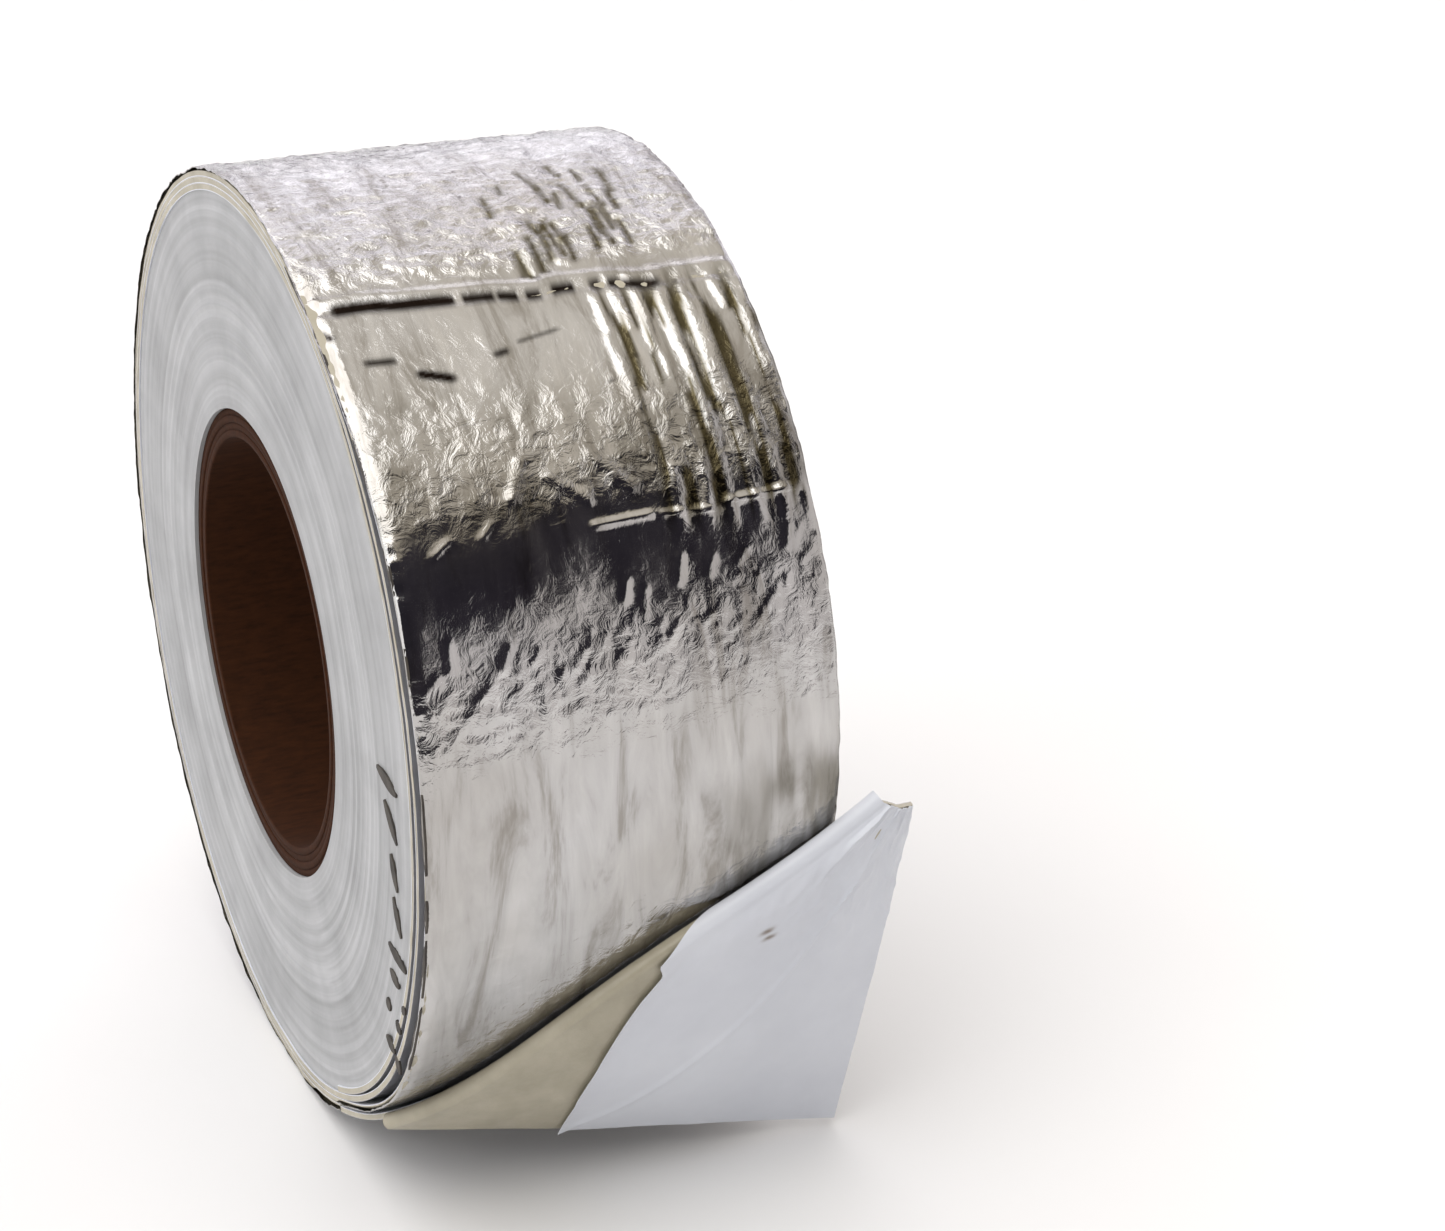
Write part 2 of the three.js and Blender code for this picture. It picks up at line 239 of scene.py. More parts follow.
class Mat:
    """A node material built by name, with a few wiring helpers."""

    def __init__(self, name, color, rough, metal=0.0):
        self.m = bpy.data.materials.new(name)
        self.m.use_nodes = True
        self.t = self.m.node_tree
        self.t.nodes.clear()
        out = self.t.nodes.new("ShaderNodeOutputMaterial")
        self.b = self.t.nodes.new("ShaderNodeBsdfPrincipled")
        self.t.links.new(self.b.outputs[0], out.inputs[0])
        self.b.inputs["Base Color"].default_value = (*color, 1)
        self.b.inputs["Roughness"].default_value = rough
        self.b.inputs["Metallic"].default_value = metal
        self.bump_in = None

    def node(self, kind, **props):
        n = self.t.nodes.new(kind)
        for k, v in props.items():
            if k in n.inputs:
                n.inputs[k].default_value = v
            else:
                setattr(n, k, v)
        return n

    def link(self, a, b):
        self.t.links.new(a, b)

    def coords(self, scale=(1, 1, 1), uv=False):
        """Metres in the object's frame, or along and across the tape."""
        if uv:
            src = self.node("ShaderNodeUVMap", uv_map="tape").outputs[0]
        else:
            src = self.node("ShaderNodeTexCoord").outputs["Object"]
        mp = self.node("ShaderNodeMapping")
        mp.inputs["Scale"].default_value = scale
        self.link(src, mp.inputs[0])
        return mp.outputs[0]

    def noise(self, vec, scale, detail=4.0, rough=0.55, distort=0.0):
        n = self.node("ShaderNodeTexNoise")
        n.inputs["Scale"].default_value = scale
        n.inputs["Detail"].default_value = detail
        n.inputs["Roughness"].default_value = rough
        n.inputs["Distortion"].default_value = distort
        self.link(vec, n.inputs["Vector"])
        return n.outputs[0]

    def mix(self, amount, a, b, blend="MIX"):
        """Colour a turning into b; amount and b are sockets or plain values."""
        n = self.node("ShaderNodeMix", data_type="RGBA", blend_type=blend)
        for socket, x in ((0, amount), (6, a), (7, b)):
            if isinstance(x, (float, tuple)):
                n.inputs[socket].default_value = x
            else:
                self.link(x, n.inputs[socket])
        return n.outputs[2]

    def math(self, op, *args):
        n = self.node("ShaderNodeMath", operation=op)
        for k, x in enumerate(args):
            if isinstance(x, float):
                n.inputs[k].default_value = x
            else:
                self.link(x, n.inputs[k])
        return n.outputs[0]

    def field(self, name):
        return self.node("ShaderNodeAttribute", attribute_name=name).outputs["Fac"]

    def ramp(self, fac, stops):
        return add_ramp(self.t, fac, stops)

    def grey(self, fac, lo, hi, a=0.0, b=1.0):
        return self.ramp(fac, [(a, (lo,) * 3), (b, (hi,) * 3)])

    def bump(self, height, strength, distance):
        n = self.node("ShaderNodeBump")
        n.inputs["Strength"].default_value = strength
        n.inputs["Distance"].default_value = distance
        self.link(height, n.inputs["Height"])
        if self.bump_in is not None:
            self.link(self.bump_in, n.inputs["Normal"])
        self.bump_in = n.outputs[0]
        self.link(self.bump_in, self.b.inputs["Normal"])


def foil_material():
    """Crumpled aluminium foil, with painted shade along its long crease and at its dents, and
    painted olive reflection and shade in its wrinkles.
    """
    m = Mat("foil", srgb(188, 185, 183), 0.1, 1.0)
    v = m.coords(uv=True)
    base = m.ramp(m.noise(v, 26, 3), [(0.3, srgb(178, 175, 171)), (0.7, srgb(196, 195, 195))])
    # painted shade along the long crease and at the dents, then painted olive reflection and shade
    # in the wrinkles
    for name, colour in (("painted_shade", srgb(72, 64, 36)), ("crease_shade_and_specks", srgb(30, 22, 18))):
        base = m.mix(m.field(name), base, (*colour, 1))
    # handling streaks run round the roll
    streaks = m.noise(m.coords((1, 5, 1), uv=True), 34, 5, 0.65, 0.6)
    worn = m.ramp(streaks, [(0.34, (0.62, 0.60, 0.57)), (0.47, (0.92, 0.92, 0.92)),
                            (0.66, (1.08, 1.08, 1.08))])
    m.link(m.mix(1.0, base, worn, "MULTIPLY"), m.b.inputs["Base Color"])
    smear = m.noise(m.coords((1, 3, 1), uv=True), 60, 4)
    m.link(m.grey(smear, 0.07, 0.17, 0.35, 0.7), m.b.inputs["Roughness"])
    m.bump(m.noise(v, 330, 4, 0.62, 1.1), 0.35, 0.00042)
    m.link(m.grey(m.field("crumple"), 0.15, 1.0), m.bump_in.node.inputs["Strength"])
    m.bump(m.noise(m.coords((1, 5, 1), uv=True), 900, 2), 0.10, 0.00006)
    return m.m


def mastic_material():
    """Grey-olive butyl, faintly patchy and a little glossy."""
    m = Mat("mastic", srgb(150, 144, 127), 0.5)
    v = m.coords()
    patch = m.noise(v, 90, 5, 0.6)
    m.link(m.ramp(patch, [(0.3, srgb(156, 149, 130)), (0.55, srgb(171, 164, 145)),
                          (0.8, srgb(187, 180, 161))]), m.b.inputs["Base Color"])
    m.link(m.grey(m.noise(v, 240, 3), 0.34, 0.62, 0.3, 0.7), m.b.inputs["Roughness"])
    m.bump(m.noise(v, 700, 4, 0.6), 0.35, 0.0002)
    m.bump(m.noise(v, 160, 3, 0.5), 0.3, 0.0005)
    m.b.inputs["Coat Weight"].default_value = 0.15
    return m.m


def liner_material():
    """White release paper with a soft sheen; its cracks are two small specks."""
    m = Mat("liner", srgb(188, 190, 195), 0.42)
    v = m.coords()
    paper = m.ramp(m.noise(v, 45, 4), [(0.3, srgb(201, 204, 212)), (0.7, srgb(213, 216, 223))])
    m.link(m.mix(m.field("crease_shade_and_specks"), paper, (*srgb(118, 104, 92), 1)), m.b.inputs["Base Color"])
    m.link(m.grey(m.noise(v, 120, 3), 0.36, 0.52, 0.3, 0.7), m.b.inputs["Roughness"])
    m.bump(m.noise(v, 1500, 3, 0.6), 0.12, 0.00005)
    m.bump(m.noise(v, 140, 3, 0.5), 0.18, 0.0004)
    m.b.inputs["Sheen Weight"].default_value = 0.08
    return m.m


def side_material():
    """The wound side: faint rings of liner and butyl edge, and soft blotches."""
    m = Mat("wound_side", srgb(205, 205, 206), 0.55)
    sep = m.node("ShaderNodeSeparateXYZ")
    m.link(m.coords(), sep.inputs[0])
    comb = m.node("ShaderNodeCombineXYZ")
    m.link(sep.outputs[0], comb.inputs[0])
    m.link(m.math("SUBTRACT", sep.outputs[2], AXIS_Z * 0.001), comb.inputs[1])
    radius = m.node("ShaderNodeVectorMath", operation="LENGTH")
    m.link(comb.outputs[0], radius.inputs[0])
    wavering = m.math("MULTIPLY_ADD", m.noise(m.coords(), 22, 2), 0.0016, radius.outputs[1])
    ringv = m.node("ShaderNodeCombineXYZ")
    m.link(wavering, ringv.inputs[0])
    rings = m.noise(ringv.outputs[0], 430, 3, 0.6)
    broad = m.noise(ringv.outputs[0], 90, 2, 0.5)
    both = m.math("MULTIPLY", m.math("ADD", rings, broad), 0.5)
    col = m.ramp(both, [(0.34, srgb(146, 147, 147)), (0.5, srgb(168, 169, 170)),
                        (0.66, srgb(188, 189, 190))])
    blot = m.ramp(m.noise(m.coords(), 55, 5, 0.62), [(0.3, (0.78, 0.78, 0.78)), (0.6, (1, 1, 1))])
    m.link(m.mix(1.0, col, blot, "MULTIPLY"), m.b.inputs["Base Color"])
    m.bump(rings, 0.35, 0.0003)
    m.bump(m.noise(m.coords(), 800, 4), 0.2, 0.0001)
    return m.m


def core_material():
    """Dark brown board with fibres along its turns; the dark is partly painted shade, set to the
    tone of the shadowed bore.
    """
    m = Mat("core", srgb(44, 24, 11), 0.9)
    v = m.coords((1, 0.25, 1))
    fib = m.noise(v, 900, 4, 0.65)
    m.link(m.ramp(fib, [(0.3, srgb(45, 23, 9)), (0.7, srgb(62, 33, 14))]), m.b.inputs["Base Color"])
    m.bump(fib, 0.3, 0.0001)
    m.bump(m.noise(m.coords(), 60, 2), 0.2, 0.0005)
    m.b.inputs["Specular IOR Level"].default_value = 0.15
    return m.m


def dark_material():
    """The shadowed gap between turns."""
    m = Mat("dark_gap", srgb(52, 47, 42), 0.7)
    v = m.coords()
    m.link(m.ramp(m.noise(v, 300, 3), [(0.3, srgb(38, 33, 29)), (0.7, srgb(78, 72, 64))]),
           m.b.inputs["Base Color"])
    m.bump(m.noise(v, 900, 3), 0.3, 0.0001)
    return m.m


MAT = {
    "foil": foil_material(),
    "mastic": mastic_material(),
    "liner": liner_material(),
    "wound_side": side_material(),
    "core": core_material(),
    "dark": dark_material(),
}


def finish_piece(obj, slot, body=None, mat=None):
    """Material, picked by slot unless another is named, and body when one is given."""
    obj.data.materials.clear()
    obj.data.materials.append(MAT[mat or slot])
    if body:
        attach(obj, body)


# ---- the camera, first -----------------------------------------------------------
CAMERA_LENS, CAMERA_SENSOR = 70.0, 36
CAMERA_RIGHT = Vector((0.4258, 0.9048, 0.0))
CAMERA_AHEAD = Vector((-0.8347, 0.3928, -0.3859))
CAMERA_PLACE = Vector((0.46384, -0.16192, 0.20346 + AXIS_Z * 0.001))


def add_camera():
    cam = bpy.data.cameras.new("camera")
    cam.sensor_width = CAMERA_SENSOR
    cam.lens = CAMERA_LENS
    cam.clip_start, cam.clip_end = 0.01, 20
    obj = bpy.data.objects.new("camera", cam)
    bpy.context.scene.collection.objects.link(obj)
    right, fwd = CAMERA_RIGHT.normalized(), CAMERA_AHEAD.normalized()
    up = right.cross(fwd).normalized()
    rot = Matrix((right, up, -fwd)).transposed().to_4x4()
    obj.matrix_world = Matrix.Translation(CAMERA_PLACE) @ rot
    bpy.context.scene.camera = obj


add_camera()


# ---- the roll's shape ----------------------------------------------------------------
def looseness(deg, turns_in, y=0.0):
    """How far a turn stands off at the front: most at the -Y edge, none at the +Y edge."""
    d = np.mod(deg, 360.0)
    bump = smooth((d - END_DEG) / LOOSE_RISE) * (1 - smooth((d - LOOSE_TOP) / LOOSE_FALL))
    share = LOOSE_SHARES[np.minimum(len(LOOSE_SHARES) - 1, turns_in)]
    return LOOSE * bump * share * np.clip(1 - y / HALF, 0, 2.0)


def wind_radius(wind, y=0.0):
    """Radius of the foil's face at a winding angle, 0 at the tape's end and
    falling by a turn for each 360 degrees back."""
    back = -np.asarray(wind, float)
    turns_in = np.maximum(0, np.ceil(back / 360 - 1e-9) - 1).astype(int)
    return ROLL_R - PITCH * back / 360 + looseness(END_DEG + wind, turns_in, y)


def sagged(wind, depth, y=0.0):
    """x and z of the wound line depth below the foil's face, flat at the floor."""
    wind = np.asarray(wind, float)
    deg = END_DEG + wind
    near = np.round(deg / 360) * 360 - END_DEG
    bottom = ROLL_R + PITCH * near / 360 - depth
    r = wind_radius(wind, y) - depth
    sagging = PITCH * (TURNS + 2)
    share = np.clip((bottom - (ROLL_R - sagging)) / sagging, 0, 1)
    floor = AXIS_Z - (bottom - SAG * share)
    x = r * np.sin(np.radians(deg))
    z = np.maximum(AXIS_Z - r * np.cos(np.radians(deg)), floor)
    return x, z


# ---- the foil's crinkles --------------------------------------------------------------
# Places on the foil are u, mm round the roll from the floor up the front, and y
# across it. A crease is (u0, y0, u1, y1, width, strength).
# The dent strokes are only painted dark as shade; they give the foil no relief.
DENT_SHADES = ((215.5, -31, 215.3, -27, 1.0, 0.8), (212, -23, 210.6, -18.5, 1.1, 1.0),
         (214, -9.5, 214.4, -8, 0.9, 0.8), (216, -5, 217.5, 2, 0.6, 0.6),
         (206, 7.5, 206.2, 8.2, 0.5, 0.6), (210, 13, 210.2, 13.6, 0.5, 0.6),
         (223, -37, 221.5, -35.4, 0.8, 0.9))
BAND_CREASES = ((182, -2, 182.4, 8, 0.55, 0.4), (182.2, 10, 181.6, 20, 0.5, 0.35),
                (182.6, 22, 183.4, 35, 0.6, 0.42), (181, -30, 183, -27, 0.45, 0.22),
                (182.5, -21.5, 185, -19, 0.4, 0.22), (188, -15, 194, -12, 0.8, 0.25),
                (191, -8, 186, -2, 0.7, 0.3), (194, 0, 187, 6, 0.7, 0.3))
PITS, BAND_STROKES = 34, 48


def crease_line(y):
    """u of the long crease, which wanders and drops a little toward +Y."""
    wander = 1.5 * (vnoise(y / 7, y * 0 + 2, 51) - 0.5)
    return math.radians(CREASE_DEG) * ROLL_R - 0.045 * (y + HALF) + wander


def painted_crease_shade(u, y):
    """0 to 1: where the foil is painted dark as shade along the long crease and at the dents."""
    solid = smooth((y + 34) / 0.8) * (1 - smooth((y + 14) / 2))
    dots = smooth((vnoise(y / 1.5, y * 0 + 5, 52) - 0.42) / 0.12)
    dotted = dots * smooth((y + 16) / 2) * (1 - smooth((y - 22) / 3))
    c = np.exp(-((u - crease_line(y)) / 1.55) ** 2) * np.maximum(solid, 0.85 * dotted)
    for *ends, width, strength in DENT_SHADES:
        c = np.maximum(c, strength * stroke(u, y, *ends, width))
    return np.clip(1.5 * c - 0.25, 0, 1)


def right_streaks(deg, u, y, n):
    """Round-the-roll wrinkles on the far third of the upper front: where, and how high."""
    broken = smooth((fbm(u / 14 + 3, y / 2.2, 57, 2) - 0.36) / 0.1)
    zone = smooth((y - 7 - 3 * n) / 4) * smooth((deg - 116) / 5) * (1 - smooth((deg - 145) / 7))
    line = 0.5 + 0.5 * np.cos(2 * np.pi * (y / 4.3 + 1.1 * fbm(u / 26, y / 12, 31, 2)))
    return zone * broken, line


def top_pits(u, y):
    """Short wrinkles along the tape on the far half of the top, sunk and painted dark as shade, 0
    to 1.
    """
    pits = 0 * u
    for k in range(PITS):
        r1, r2, r3, r4 = chances(k, 4, 91)
        y0 = lerp(0, 24, r1) + 4 * (r2 - 0.5)
        u0 = math.radians(lerp(154, 172, r2)) * ROLL_R
        size = 3.0 + 5.0 * r3
        a = math.radians(172 + 22 * r4)
        ends = u0, y0, u0 + size * math.cos(a), y0 - size * math.sin(a)
        pits = np.maximum(pits, stroke(u, y, *ends, 0.55 + 0.35 * r3))
    return pits


def band_strokes(u, y):
    """Short slanted strokes crowded along the lower edge of the dark band, in mm."""
    h = 0
    for k in range(BAND_STROKES):
        r1, r2, r3, r4, r5 = chances(k, 5, 77)
        s = (k + r1) / BAND_STROKES
        y0 = lerp(-36, 36, s)
        u0 = lerp(158, 171, s) + 13 * (r2 - 0.6)
        a = math.radians(40 + 50 * r3)
        size = 1.8 + 3.4 * r4
        ends = u0, y0, u0 + size * math.sin(a), y0 + size * math.cos(a)
        h = h + (0.08 + 0.2 * r5) * stroke(u, y, *ends, 0.4 + 0.3 * r1)
    return h


def crinkle(deg, y):
    """The creased foil at an angle up the front and a width place: its height in
    mm, and where it has painted crease shade, painted olive reflection and shade, and fine crumple,
    each 0 to 1."""
    u = np.radians(deg) * ROLL_R
    u, y = np.broadcast_arrays(u, y)
    n = fbm(u / 22, y / 22, 3, 3)
    warp = 7 * (fbm(u / 8 + 40, y / 8, 7, 3) - 0.5)
    sharp = ridged((u + warp) / 5.2, (y + warp * 0.8) / 6.0, 11, 3)
    fine = ridged((u - warp) / 2.6, (y - warp) / 3.2, 23, 2)
    wide = y / HALF
    # how crumpled each stretch is, from the top down to the floor
    top = smooth((deg - CREASE_DEG - 1) / 4)
    upper = smooth((deg - 121) / 3) * (1 - smooth((deg - 132) / 7))
    below_band = smooth((deg - 92) / 8) * (1 - smooth((deg - 108 - 4 * wide) / 4))
    low = 1 - smooth((deg - 84 - 3 * wide) / 9)
    amount = 0.035 + 0.52 * top + 0.12 * below_band + 0.13 * upper + 0.02 * low
    h = amount * (1.2 * sharp + 0.6 * fine)
    pits = top_pits(u, y)
    h = h - 0.22 * pits
    zone, streak = right_streaks(deg, u, y, n)
    h = h + 0.34 * zone * streak
    # brushed round-the-roll ripples lower down, wider toward the far side
    brushed = low * smooth((y + 24) / 30) * smooth((deg - 40) / 10)
    h = h + 0.16 * brushed * ridged(y / 2.6 + (u - 110) / 30, u / 26, 37, 2)
    # soft long dents
    h = h + 0.7 * (fbm(u / 30 + 9, y / 24, 41, 2) - 0.5)
    # the long crease straight across the tape, with a raised lip above it
    d = (u - crease_line(y)) / 1.1
    h = h - 0.14 * np.exp(-d * d) + 0.2 * np.exp(-(d - 2.2) ** 2)
    for *ends, width, strength in BAND_CREASES:
        h = h + strength * stroke(u, y, *ends, width)
    h = h + band_strokes(u, y)
    # painted olive reflection and shade: between the streaks, in the pits, on the shaded stretch,
    # and in the ripples
    patchy = smooth((fbm(u / 9 + y / 14, y / 7 - u / 30, 63, 3) - 0.42) / 0.2)
    shaded_stretch = smooth((deg - 120) / 3) * (1 - smooth((deg - 131) / 8)) * (0.35 + 0.65 * patchy)
    furrow = smooth((ridged(y / 3.0 + (u - 110) / 30, u / 30, 39, 2) - 0.15) / 0.6)
    painted_shade = np.maximum(0.95 * zone * smooth((0.62 - streak) / 0.25), 0.95 * pits)
    painted_shade = np.maximum(painted_shade, 0.42 * shaded_stretch)
    painted_shade = np.maximum(painted_shade, 0.6 * brushed * smooth((y - 2) / 28) * furrow)
    crumple = np.clip(top + 0.5 * below_band + 0.55 * upper + 0.4 * low + 0.4 * zone, 0, 1)
    return h, painted_crease_shade(u, y), painted_shade, crumple


# ---- the wound body --------------------------------------------------------------------
def wound_sides():
    """Both side faces of the inner turns with each turn's small step, and the rim and bore."""
    segs, spacing = 220, 0.4
    rs = np.concatenate([[CORE_R + 0.02], np.arange(CORE_R + spacing, WOUND_R - 0.3, spacing),
                         [WOUND_R - 0.12]])
    deg = np.arange(segs) * 360 / segs
    rr, dd = np.meshgrid(rs, deg, indexing="ij")
    turn = (rr + PITCH * dd / 360) / PITCH
    across, along = rr * np.cos(np.radians(dd)) / 30, rr * np.sin(np.radians(dd)) / 30
    edge = np.minimum(smooth((rr - CORE_R) / 2), smooth((WOUND_R - rr) / 2))
    groove = -0.10 * np.exp(-((turn % 1.0 - 0.06) / 0.1) ** 2)
    verts = []
    for side, seed in ((-1, 5), (1, 6)):
        step = (lattice(np.floor(turn), 0 * turn, seed) - 0.5) * 0.22
        wave = 0.5 * (fbm(across + 7, along, 9 + side, 2) - 0.5)
        out = HALF - 0.35 + (step + groove + wave) * edge
        verts.append(on_roll(rr, dd, side * out).reshape(-1, 3))
    n = len(rs)

    def q(side, i, j):
        return side * n * segs + i * segs + (j % segs)

    faces = []
    for i in range(n - 1):
        for j in range(segs):
            faces.append([q(0, i, j), q(0, i + 1, j), q(0, i + 1, j + 1), q(0, i, j + 1)])
            faces.append([q(1, i, j + 1), q(1, i + 1, j + 1), q(1, i + 1, j), q(1, i, j)])
    for j in range(segs):
        faces.append([q(0, n - 1, j), q(1, n - 1, j), q(1, n - 1, j + 1), q(0, n - 1, j + 1)])
        faces.append([q(0, 0, j + 1), q(1, 0, j + 1), q(1, 0, j), q(0, 0, j)])
    obj = new_object("wound_turns", np.concatenate(verts), faces)
    mark_sharp(obj)
    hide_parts("inner_turns")
    finish_piece(obj, "wound_side", "roll")


def core_tube():
    """The core: plies that end unevenly, and the inner ply's helical seam in the bore."""
    segs, bore_rows, seam_rise = 160, 60, 95.0
    wall = (CORE_R - BORE_R) / CORE_PLIES
    end = HALF - CORE_INSET
    profile = []
    for k, uneven in enumerate((0.0, -0.16, 0.07, -0.1)):
        y, a = end + uneven, BORE_R + wall * k
        profile += [(a + 0.03, y - 0.1), (a + 0.12, y), (a + wall - 0.12, y),
                    (a + wall - 0.03, y - 0.1)]
    deg = np.arange(segs) * 360 / segs
    rows = [on_roll(r, deg, y) for r, y in profile + [(r, -y) for r, y in profile[::-1]]]
    for y in np.linspace(-end + 0.4, end - 0.4, bore_rows):
        seam = np.mod(deg / 360 + y / seam_rise, 1.0)
        dip = 0.22 * np.exp(-((seam - 0.5) / 0.006) ** 2)
        rows.append(on_roll(BORE_R + 0.02 + dip, deg, y))
    obj = new_object("core_tube", np.stack(rows).reshape(-1, 3), ring_faces(len(rows), segs))
    mark_sharp(obj)
    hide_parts("core_ply_1", "core_ply_2", "core_ply_3", "core_ply_4")
    finish_piece(obj, "core", "roll")


def set_down(ends, w, y):
    """The top turn's butyl is set down a little, so that the dented foil clears it."""
    x, z = ends[:, 0].copy(), ends[:, 2].copy()
    top_turn = w > -361
    drop = 0.3 if abs(y) < HALF - 0.1 else 0.7
    r = wind_radius(w, y) - FOIL_T - np.where(top_turn, drop, 0.0)
    a = np.radians(END_DEG + w)
    use = top_turn & (np.abs(np.mod(END_DEG + w + 180, 360) - 180) > 12)
    ends[:, 0] = np.where(use, r * np.sin(a), x)
    ends[:, 2] = np.where(use, np.maximum(AXIS_Z - r * np.cos(a), z), z)


def outer_strips():
    """The outer turns' butyl and liner, and the foil under the top turn, each with
    its uneven edge showing at the sides."""
    wind = np.linspace(-TURNS * 360 + 0.5, 0, TURNS * 200 + 1)
    top_foil = -350                 # foil_tread has the foil from here on
    rims, inner = (-HALF, HALF), (-HALF, -HALF + 0.6, HALF - 0.6, HALF)
    for name, slot, top, low, w, ys, edge in (
            ("mastic_outer", "mastic", FOIL_T, FOIL_T + MASTIC_T, wind, inner, (0.25, 5, 67, 0.55)),
            ("liner_outer", "liner", FOIL_T + MASTIC_T, PITCH, wind, rims, (0.12, 6, 61, 0.5)),
            ("foil_outer", "foil", 0.0, FOIL_T, wind[wind <= top_foil], rims, (0.12, 6, 61, 0.5))):
        rough, grain, seed, middle = edge
        u = np.radians(w) * ROLL_R
        rows = []
        for k, y in enumerate(ys):
            pair = []
            for depth in (top, low):
                x, z = sagged(w, depth, y)
                pair.append(np.stack([x, 0 * x, z], -1))
            if slot == "mastic":
                set_down(pair[0], w, y)
            uneven = rough * (fbm(u / grain, u * 0 + 3 * k, seed + k, 3) - middle)
            for line in pair:
                line[:, 1] = y + np.sign(y) * (uneven - 0.08)
            rows.append(pair)
        obj = sheet_solid(name + "_strip", np.stack([r[0] for r in rows], 1),
                          np.stack([r[1] for r in rows], 1))
        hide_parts(name + "_turns")
        finish_piece(obj, slot, "roll")


def foil_tread():
    """The creased foil of the last turn, all the way round."""
    front = np.linspace(END_DEG, TOP_DEG, 470)
    rest = np.linspace(TOP_DEG, 360 + END_DEG, 240)[1:]
    wind = np.concatenate([front, rest]) - END_DEG - 360
    ww, yy = np.meshgrid(wind, np.linspace(-HALF, HALF, 112), indexing="ij")
    dd = ww + END_DEG + 360
    x, z = sagged(ww, 0.0, yy)
    h, crease_shade_and_specks, painted_shade, crumple = crinkle(dd, yy)
    # flat on the floor, and smooth where the tape's end and the turn's start meet
    near_floor = smooth((np.abs(np.mod(dd + 180, 360) - 180) - 8) / 14)
    ends = smooth((dd - END_DEG - 4) / 10) * smooth((360 + END_DEG - dd) / 6)
    h = np.clip(h, -0.28, 1.2) * near_floor * lerp(0.15, 1, ends)
    rad = np.stack([np.sin(np.radians(dd)), 0 * dd, -np.cos(np.radians(dd))], -1)
    # rim: the cut edge is uneven and turned down a little
    side = np.sign(yy)
    rim = smooth(1 - (HALF - np.abs(yy)) / 1.6)
    u = np.radians(dd) * ROLL_R
    burr = fbm(u / 3.0, yy * 0 + side * 9, 81, 3) - 0.5
    # the near edge is turned down and ragged where the turn stands off
    near_rim = smooth(1 - (HALF + yy) / 2.4) * smooth((dd - 46) / 8) * (1 - smooth((dd - 150) / 10))
    turned = near_rim * (0.25 + 0.9 * np.clip(burr + 0.25, 0, 1))
    top = np.stack([x, yy, z], -1) + rad * (h + rim * (0.5 * burr - 0.1) - turned)[..., None]
    top[..., 1] += side * rim * (0.35 * (fbm(u / 4, yy * 0 + side * 5, 83, 3) - 0.35))
    edges = [top[:, j] - rad[:, j] * 0.16 for j in (0, -1)]
    nu, nv = top.shape[:2]
    grid = np.concatenate([edges[0][:, None], top, edges[1][:, None]], 1)
    obj = new_object("foil_tread", grid.reshape(-1, 3), grid_faces(nu, nv + 2))

    def with_edges(field):
        return np.concatenate([field[:, :1], field, field[:, -1:]], 1)

    set_uv(obj, with_edges(u).ravel() * 0.001, with_edges(yy).ravel() * 0.001)
    for name, field in (("crease_shade_and_specks", crease_shade_and_specks), ("painted_shade", painted_shade), ("crumple", crumple)):
        set_field(obj, name, with_edges(field))
    finish_piece(obj, "foil", "roll")


# ---- the folded stretch and flap ---------------------------------------------------------
# s runs along the fold from its low end at -Y, 0, to its high end at +Y, 1
def fold_deg(s):
    return lerp(FOLD_LOW, FOLD_HIGH, s) + FOLD_BOW * 4 * s * (1 - s) * (1 - 0.9 * s)


def fold_y(s):
    return lerp(-HALF + 2, HALF + TAIL_SHIFT, s)


def under_radius(deg, y=0.0):
    """Radius at which the last stretch lies over the turn below it."""
    below = wind_radius(np.maximum(0, deg - END_DEG) - 360 + 1e-6, y)
    return below + PITCH + LAST_GAP + LAST_LIFT * smooth((deg - END_DEG) / 12)


def fold_point(s):
    d = fold_deg(s)
    return on_roll(under_radius(d, fold_y(s)), d, fold_y(s))


def fold_frame(s):
    """Directions out of the roll and over the fold, square to the fold's line."""
    d = fold_deg(s)
    out = on_roll(1.0, d, 0.0) - on_roll(0.0, 0.0, 0.0)
    along = unit(fold_point(np.minimum(1, s + 0.01)) - fold_point(np.maximum(0, s - 0.01)))
    out = unit(out - along * (out * along).sum(-1, keepdims=True))
    over = unit(np.cross(along, out))
    over = np.where(over[..., 2:3] < 0, -over, over)
    return out, over


def bend(s, turn):
    """Place and inward direction after turning so many degrees round the fold."""
    out, over = fold_frame(s)
    r = FOLD_GAP / 2
    a = np.radians(turn)[..., None]
    place = fold_point(s) + over * r * np.sin(a) + out * r * (1 - np.cos(a))
    return place, unit(-out * np.cos(a) + over * np.sin(a))


def clear_of_roll(p, gap):
    """Points pushed out to stay a gap off the roll, less so beyond its +Y side."""
    dx, dz = p[..., 0], AXIS_Z - p[..., 2]
    r = np.hypot(dx, dz)
    deg = np.degrees(np.arctan2(dx, dz))
    fade = 1 - smooth((p[..., 1] - HALF - 1) / 8)
    need = under_radius(np.maximum(END_DEG, deg), p[..., 1]) + gap
    k = np.where(r < need, lerp(1.0, need / r, fade), 1.0)
    q = p.copy()
    q[..., 0] = dx * k
    q[..., 2] = AXIS_Z - dz * k
    return q


def flap_place(s, v):
    """A point of the turned-out flap, from the fold, v 0, to its cut end, v 1."""
    start, _ = bend(s, 180 + 0 * s)
    end = lerp(END_LOW, END_HIGH, s[..., None])
    p = lerp(start, end, v[..., None])
    return clear_of_roll(p, lerp(FOLD_GAP, FLAP_GAP, smooth(v * 6)))


